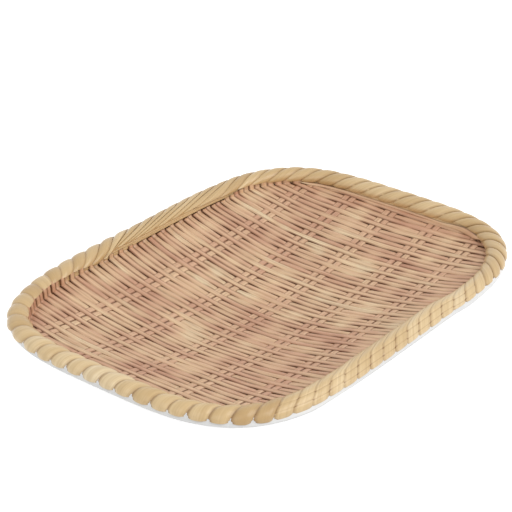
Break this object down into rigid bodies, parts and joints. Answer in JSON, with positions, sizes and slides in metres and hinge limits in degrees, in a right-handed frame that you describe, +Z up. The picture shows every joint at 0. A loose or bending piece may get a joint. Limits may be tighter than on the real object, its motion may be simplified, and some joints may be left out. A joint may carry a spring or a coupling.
{
  "type": "noodle serving tray",
  "caption": "Shallow noodle tray with rounded corners: a dished weave of flat bamboo splints, bound into a cane-wrapped rim and seated in a white shell on a foot ring.",
  "frame": {"origin": "middle of the tray's plan, on the plane that the foot ring stands on", "axes": "+X along the tray's length, parallel to the paired strands; +Y across it, along the splints; +Z up out of the dish"},
  "size_m": [0.2796, 0.206, 0.0301],
  "materials": {
    "white_shell": "smooth glossy white",
    "hoop_bamboo": "satin split bamboo",
    "core_bamboo": "raw split bamboo",
    "rim_cane": "satin straw-coloured cane with grain along the strip",
    "strand_bamboo": "satin pinkish tan bamboo strip",
    "splint_bamboo": "satin bamboo splint, pinkish tan to pale straw, with lengthwise grain"
  },
  "bodies": {
    "root": {"base_shell": "white_shell", "rim_inner_hoop": "hoop_bamboo", "rim_outer_hoop": "hoop_bamboo", "rim_core_rod": "core_bamboo", "rim_wrap_back_right": "rim_cane", "rim_wrap_back_left": "rim_cane", "rim_wrap_front_left": "rim_cane", "rim_wrap_front_right": "rim_cane", "strand_1_front": "strand_bamboo", "strand_1_back": "strand_bamboo", "strand_2_front": "strand_bamboo", "strand_2_back": "strand_bamboo", "strand_3_front": "strand_bamboo", "strand_3_back": "strand_bamboo", "strand_4_front": "strand_bamboo", "strand_4_back": "strand_bamboo", "strand_5_front": "strand_bamboo", "strand_5_back": "strand_bamboo", "splint_01": "splint_bamboo", "splint_02": "splint_bamboo", "splint_03": "splint_bamboo", "splint_04": "splint_bamboo", "splint_05": "splint_bamboo", "splint_06": "splint_bamboo", "splint_07": "splint_bamboo", "splint_08": "splint_bamboo", "splint_09": "splint_bamboo", "splint_10": "splint_bamboo", "splint_11": "splint_bamboo", "splint_12": "splint_bamboo", "splint_13": "splint_bamboo", "splint_14": "splint_bamboo", "splint_15": "splint_bamboo", "splint_16": "splint_bamboo", "splint_17": "splint_bamboo", "splint_18": "splint_bamboo", "splint_19": "splint_bamboo", "splint_20": "splint_bamboo", "splint_21": "splint_bamboo", "splint_22": "splint_bamboo", "splint_23": "splint_bamboo", "splint_24": "splint_bamboo", "splint_25": "splint_bamboo", "splint_26": "splint_bamboo", "splint_27": "splint_bamboo", "splint_28": "splint_bamboo", "splint_29": "splint_bamboo", "splint_30": "splint_bamboo", "splint_31": "splint_bamboo"}
  },
  "joints": []
}
